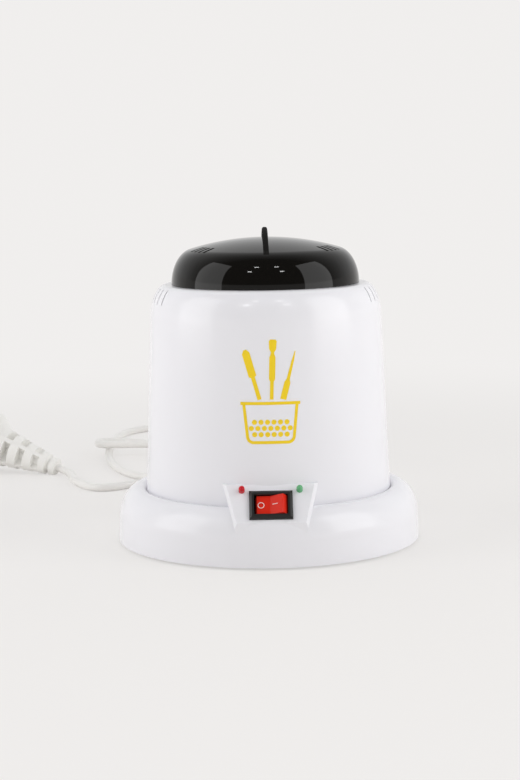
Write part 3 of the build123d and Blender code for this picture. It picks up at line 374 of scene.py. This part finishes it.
dress(housingPlastic(), "housing")
dress(lidPlastic(), "lid")
dress(glassBead(), "glass_beads")
dress(cordSheath, "cord_tail")
finishes = {  # what makes it, its values, and the pieces that wear it
    "drawnSteel": (metal, {"colour": (0.72, 0.72, 0.73), "roughness": 0.18, "stretch": (1, 1, 0.05)},
                   ["pot", "top_ring"]),
    "plainSteel": (metal, {"colour": (0.62, 0.62, 0.62), "roughness": 0.34},
                   ["shield_can", "cutout_bracket", "fuse_clip"]),
    "platedScrew": (metal, {"colour": (0.72, 0.71, 0.68), "roughness": 0.25, "stretch": (1, 1, 1),
                            "scale": 600},
                    ["ring_screws", "band_screw", "bracket_rivets", "base_screws", "terminal_screws",
                     "clamp_screws"]),
    "bandJacket": (metal, {"colour": (0.52, 0.50, 0.47), "roughness": 0.4}, ["heater_band"]),
    "fuseShell": (metal, {"colour": (0.70, 0.70, 0.72), "roughness": 0.3}, ["fuse"]),
    "contactBrass": (metal, {"colour": (0.80, 0.62, 0.30), "roughness": 0.28},
                     ["rocker_plunger", "contact_lever", "switch_terminals", "terminal_tubes"]),
    "platedPin": (metal, {"colour": (0.80, 0.80, 0.81), "roughness": 0.15}, ["plug_pins"]),
    "ceramicFibre": (fibre, {"colour": (0.86, 0.84, 0.78), "roughness": 0.95},
                     ["insulation_sleeve", "insulation_pad"]),
    "creamPhenolic": (moulded, {"colour": (0.78, 0.74, 0.62), "roughness": 0.4}, ["bimetal_cutout"]),
    "plateBlack": (moulded, {"colour": (0.035, 0.035, 0.038), "roughness": 0.5, "grain": 800, "depth": 0.0002,
                             "strength": 0.5}, ["base_plate", "cord_clamp"]),
    "footRubber": (moulded, {"colour": (0.02, 0.02, 0.02), "roughness": 0.75, "grain": 900, "depth": 0.0002,
                             "strength": 0.5}, ["rubber_feet"]),
    "switchBlack": (moulded, {"colour": (0.012, 0.011, 0.010), "roughness": 0.3, "specular": 0.35},
                    ["switch_body"]),
    "rockerRed": (moulded, {"colour": (0.74, 0.026, 0.012), "roughness": 0.12, "specular": 0.1, **fineGrain},
                  ["rocker"]),
    "boardPaper": (moulded, {"colour": (0.45, 0.33, 0.14), "roughness": 0.6}, ["lamp_board"]),
    "resistorLacquer": (moulded, {"colour": (0.62, 0.50, 0.30), "roughness": 0.4}, ["lamp_resistors"]),
    "blockNylon": (moulded, {"colour": (0.78, 0.78, 0.74), "roughness": 0.45}, ["terminal_block"]),
    "wireSheath": (moulded, {"colour": (0.40, 0.14, 0.05), "roughness": 0.4}, ["inner_wires"]),
    "redLens": (lens, {"colour": (0.62, 0.012, 0.022), "roughness": 0.06}, ["lamp_red"]),
    "greenLens": (lens, {"colour": (0.13, 0.44, 0.20), "roughness": 0.06}, ["lamp_green"]),
    "bushingWhite": (whitePlastic, {"colour": (0.87, 0.86, 0.835), "roughness": 0.38, "grain": 700},
                     ["cord_bushing"]),
    "plugWhite": (whitePlastic, {"colour": (0.91, 0.90, 0.87), "roughness": 0.28, "grain": 700},
                  ["plug_body"]),
}
for name, (maker, values, wearers) in finishes.items():
    dress(maker(name, **values), *wearers)
print("finishes made")

# Marks on the rocker: a ring on the left, a dash on the right, printed white. Millimetres and degrees.
rockerValues = {"panelTilt": 38.0, "panelSpot": (0, -69.0, 30.0), "pivotDepth": 1.0, "restTurn": -12.0,
                "faceSlope": 12.0, "faceDip": 1.6}
markValues = {"ringRadius": 1.45, "ringAt": -4.4, "ringSteps": 40, "dash": 2.7, "dashAt": 2.4, "dashUp": 0.3,
              "stroke": 0.3, "raise": 0.03, "weld": 1e-6}
panelTilt = math.radians(rockerValues["panelTilt"])
panelOut = Vector((0, -math.cos(panelTilt), math.sin(panelTilt)))
panelUp = Vector((0, math.sin(panelTilt), math.cos(panelTilt)))
rockerPivot = Vector(rockerValues["panelSpot"]) - panelOut * rockerValues["pivotDepth"]
rockerTurn = Matrix.Rotation(math.radians(rockerValues["restTurn"]), 3, panelUp)
rockerAcross = rockerTurn @ Vector((1, 0, 0))
rockerOut = rockerTurn @ panelOut
faceSlope = math.tan(math.radians(rockerValues["faceSlope"]))


def onRocker(across, along):  # a point on the rocker's face, given in millimetres
    height = rockerValues["faceDip"] + faceSlope * abs(across) + markValues["raise"]
    return (rockerPivot + rockerAcross * across + rockerOut * height + panelUp * along) * mm


def ribbon(shape, inner, outer):  # a filled band between two rows of points
    lower = [shape.verts.new(point) for point in inner]
    upper = [shape.verts.new(point) for point in outer]
    for i in range(len(inner) - 1):
        shape.faces.new((lower[i], lower[i + 1], upper[i + 1], upper[i]))


def drawRing(shape):
    v = markValues
    turns = [2 * math.pi * i / v["ringSteps"] for i in range(v["ringSteps"] + 1)]
    small, large = [[onRocker(v["ringAt"] + radius * math.cos(a), radius * math.sin(a)) for a in turns]
                    for radius in (v["ringRadius"] - v["stroke"] / 2, v["ringRadius"] + v["stroke"] / 2)]
    ribbon(shape, large, small)
    bmesh.ops.remove_doubles(shape, verts=shape.verts, dist=v["weld"])


def drawDash(shape):
    v = markValues
    ends = (v["dashAt"] - v["dash"] / 2, v["dashAt"] + v["dash"] / 2)
    under, over = v["dashUp"] - v["stroke"] / 2, v["dashUp"] + v["stroke"] / 2
    ribbon(shape, [onRocker(end, under) for end in ends], [onRocker(end, over) for end in ends])


markWhite = moulded("markWhite", colour=(0.95, 0.94, 0.92), roughness=0.4, **fineGrain)
newPiece("offMark", drawRing, markWhite, "rocker", smooth=False)
newPiece("onMark", drawDash, markWhite, "rocker", smooth=False)
print("switch marks made")

# Printed motif on the housing's front: a cup of beads with three slim tools standing in it, in millimetres
motifValues = {
    "colour": (0.97, 0.69, 0.006), "roughness": 0.3, "lift": 0.04, "middle": 0.6, "low": 59.5, "stroke": 1.5,
    "facet": 1.5,  # the longest step along a line
    "cupWidth": 26.0, "cupHeight": 19.0, "cupTaper": 1.6, "cupBend": 3.0, "bendTurns": (20, 40, 60, 80),
    "rimReach": 1.6,
    "beadRadius": 1.25, "beadSteps": 20, "beadRows": (6, 7, 6), "beadPitch": 3.15, "beadLow": 3.9,
    "beadRise": 3.0, "toolFoot": 1.8,
}
toolValues = {  # half widths stand at shares of the length, from the foot up
    "file": {"across": -5.2, "lean": -16.0, "length": 25.0,
             "widths": [(0, 1.0), (0.45, 1.0), (0.47, 1.9), (0.93, 1.9), (1.0, 0.7)]},
    "pusher": {"across": 0.6, "lean": 2.0, "length": 29.0,
               "widths": [(0, 0.9), (0.3, 0.9), (0.34, 1.5), (0.7, 1.5), (0.78, 0.7), (0.84, 1.7),
                          (0.97, 1.9), (1.0, 1.3)]},
    "probe": {"across": 6.2, "lean": 15.0, "length": 24.0,
              "widths": [(0, 1.5), (0.35, 1.5), (0.42, 0.8), (0.8, 0.6), (1.0, 0.2)]},
}
housingProfile = [(26.4, 62.9), (115.0, 59.0)]  # height and radius of the tapered body


def onHousing(across, height):  # a point of the print, from its way round the front and its height
    low, high = housingProfile
    radius = low[1] + (high[1] - low[1]) * (height - low[0]) / (high[0] - low[0]) + motifValues["lift"]
    angle = (across + motifValues["middle"]) / radius
    return Vector((radius * math.sin(angle), -radius * math.cos(angle), height)) * mm


def between(a, b, length):  # short steps from one pair of numbers to the next, without the last
    count = max(1, int(length / motifValues["facet"]))
    return [(a[0] + (b[0] - a[0]) * i / count, a[1] + (b[1] - a[1]) * i / count) for i in range(count)]


def drawLine(shape, points):  # a flat line of even width, rounded by short steps
    fine = []
    for a, b in zip(points, points[1:]):
        fine += between(a, b, math.dist(a, b))
    fine.append(points[-1])
    width = motifValues["stroke"]
    inner, outer = [], []
    for i, (x, z) in enumerate(fine):
        before, after = fine[max(i - 1, 0)], fine[min(i + 1, len(fine) - 1)]
        dx, dz = after[0] - before[0], after[1] - before[1]
        size = math.hypot(dx, dz)
        inner.append(onHousing(x + dz / size * width / 2, z - dx / size * width / 2))
        outer.append(onHousing(x - dz / size * width / 2, z + dx / size * width / 2))
    ribbon(shape, inner, outer)


def drawBead(shape, x, z):
    radius, steps = motifValues["beadRadius"], motifValues["beadSteps"]
    turns = [2 * math.pi * i / steps for i in range(steps)]
    middle = shape.verts.new(onHousing(x, z))
    rim = [shape.verts.new(onHousing(x + radius * math.cos(a), z + radius * math.sin(a))) for a in turns]
    for i in range(steps):
        shape.faces.new((middle, rim[i], rim[(i + 1) % steps]))


def drawTool(shape, across, lean, length, widths):  # a slim tool that leans out of the cup
    foot = (across, motifValues["low"] + motifValues["cupHeight"] + motifValues["toolFoot"])
    tip = (foot[0] + math.tan(math.radians(lean)) * length, foot[1] + length)
    along = Vector((tip[0] - foot[0], tip[1] - foot[1])).normalized()
    side = Vector((along.y, -along.x))
    steps = []
    for a, b in zip(widths, widths[1:]):
        steps += between(a, b, (b[0] - a[0]) * length)
    spine = [(Vector(foot) + along * (length * share), half) for share, half in steps + widths[-1:]]
    ribbon(shape, [onHousing(*(point + side * half)) for point, half in spine],
           [onHousing(*(point - side * half)) for point, half in spine])


def drawMotif(shape):
    v = motifValues
    half, low, top = v["cupWidth"] / 2, v["low"], v["low"] + v["cupHeight"]
    foot, bend = -half + v["cupTaper"], v["cupBend"]
    cup = [(-half, top), (foot, low + bend)]
    cup += [(foot + bend * (1 - math.cos(a)), low + bend * (1 - math.sin(a)))
            for a in [math.radians(turn) for turn in v["bendTurns"]]]
    drawLine(shape, cup + [(-x, z) for x, z in reversed(cup)])
    drawLine(shape, [(-half - v["rimReach"], top), (half + v["rimReach"], top)])
    for row, count in enumerate(v["beadRows"]):
        for i in range(count):
            drawBead(shape, (i - (count - 1) / 2) * v["beadPitch"], low + v["beadLow"] + row * v["beadRise"])
    for tool in toolValues.values():
        drawTool(shape, **tool)


motifYellow = moulded("motifYellow", motifValues["colour"], motifValues["roughness"], **fineGrain)
newPiece("frontMotif", drawMotif, motifYellow, "base")
print("motif made")

# Loose beads on top of the fill, under the lid, in millimetres
beadValues = {"radius": 0.75, "count": 620, "seed": 7, "spread": 26.4, "base": 114.6, "mound": 1.5,
              "jitter": (-0.2, 0.5), "apart": 1.7, "mostTries": 60000, "rounding": 2}


def drawBeads(shape):
    v = beadValues
    picker = random.Random(v["seed"])
    placed = []
    tries = 0
    while len(placed) < v["count"] and tries < v["mostTries"]:
        tries += 1
        angle = picker.uniform(0, 2 * math.pi)
        reach = v["spread"] * math.sqrt(picker.random())
        x, y = reach * math.cos(angle), reach * math.sin(angle)
        z = v["base"] + v["mound"] * (1 - (reach / v["spread"]) ** 2) + picker.uniform(*v["jitter"])
        clear = (v["apart"] * v["radius"]) ** 2
        if all((x - a) ** 2 + (y - b) ** 2 + (z - c) ** 2 > clear for a, b, c in placed):
            placed.append((x, y, z))
    one = bmesh.new()
    bmesh.ops.create_icosphere(one, subdivisions=v["rounding"], radius=v["radius"] * mm)
    corners = [corner.co.copy() for corner in one.verts]
    sides = [[corner.index for corner in side.verts] for side in one.faces]
    one.free()
    for place in placed:
        made = [shape.verts.new(corner + Vector(place) * mm) for corner in corners]
        for side in sides:
            shape.faces.new([made[i] for i in side])


newPiece("looseBeads", drawBeads, glassBead(), "base")
print("beads made")

# Floor and light
stageValues = {"colour": (0.87, 0.85, 0.83), "share": 0.99, "cloud": 3, "seen": (0.875, 0.86, 0.85),
               "nearShare": 0.62, "blendFrom": 0.2, "blendTo": 0.75, "radius": 12.0, "steps": 48}


def drawFloor(shape):
    bmesh.ops.create_circle(shape, cap_ends=True, radius=stageValues["radius"], segments=stageValues["steps"])


def stagePaper():  # lit paper that keeps the shadow near the object, and an even pale tone far from it
    v = stageValues
    finish = Finish("stagePaper")
    warm = finish.tint(finish.noise(v["cloud"]), v["colour"], v["share"])
    paper = finish.add("ShaderNodeBsdfDiffuse", {}, {"Color": warm})
    even = finish.add("ShaderNodeEmission", {}, {"Color": rgba(*v["seen"]), "Strength": 1.0})
    away = finish.add("ShaderNodeVectorMath", {"operation": "LENGTH"}, {0: finish.place()}, out=1)
    far = finish.smooth(away, v["blendFrom"], v["blendTo"], v["nearShare"])
    mixed = finish.add("ShaderNodeMixShader", {}, {0: far * finish.seen(), 1: paper, 2: even})
    finish.add("ShaderNodeOutputMaterial", {}, {"Surface": mixed})
    return finish.material


newMesh("studioFloor", drawFloor, stagePaper())

# Two tall soft boxes beside the object, and four small far lamps that the lid mirrors
lampValues = {
    "boxLeft": {"place": (-1.06, -0.30, 0.72), "aim": (0, 0, 0.72), "size": (0.8, 1.3), "power": 7.7},
    "boxRight": {"place": (1.01, -0.43, 0.72), "aim": (0, 0, 0.72), "size": (0.8, 1.3), "power": 8.6},
}
spotValues = {"aim": (0, 0, 0.14), "distance": 1.6, "size": (0.13, 0.04), "power": 0.8,
              "places": {"spotA": (-14, 48), "spotB": (-22, 35), "spotC": (17, 48), "spotD": (22, 35)}}


def towards(azimuth, rise, distance):  # azimuth 0 is in front and positive to the right, in degrees
    turn, lift = math.radians(azimuth), math.radians(rise)
    level = math.cos(lift)
    return Vector((math.sin(turn) * level, -math.cos(turn) * level, math.sin(lift))) * distance


for name, (azimuth, rise) in spotValues["places"].items():
    place = Vector(spotValues["aim"]) + towards(azimuth, rise, spotValues["distance"])
    lampValues[name] = {**spotValues, "place": place}
for name, v in lampValues.items():
    lampData = bpy.data.lights.new(name, "AREA")
    lampData.shape = "RECTANGLE"
    lampData.size, lampData.size_y = v["size"]
    lampData.energy = v["power"]
    lamp = bpy.data.objects.new(name, lampData)
    lamp.location = v["place"]
    lamp.rotation_euler = (Vector(v["aim"]) - Vector(v["place"])).to_track_quat("-Z", "Y").to_euler()
    scene.collection.objects.link(lamp)

# The room: dim in front of the object, paler behind it, with a pale band where it meets the floor
roomValues = {"tones": [(0.4, 0.2), (0.5, 0.45), (0.72, 0.9)],  # from front to back: place and grey
              "horizon": (0.875, 0.86, 0.85), "bandFull": 0.085, "bandTop": 0.12}


def roomLight():
    v = roomValues
    room = Finish("room", "worlds")
    spot = room.place("Generated")
    tone = room.ramp(0.5 + 0.5 * room.axis(spot, 1), [(place, [grey] * 3) for place, grey in v["tones"]])
    low = room.smooth(room.axis(spot, 2), v["bandTop"], v["bandFull"])
    colour = room.blend(low, tone, rgba(*v["horizon"]))
    surface = room.add("ShaderNodeBackground", {}, {"Color": colour, "Strength": 1.0})
    room.add("ShaderNodeOutputWorld", {}, {"Surface": surface})
    return room.material


scene.world = roomLight()
print("stage and lights made")
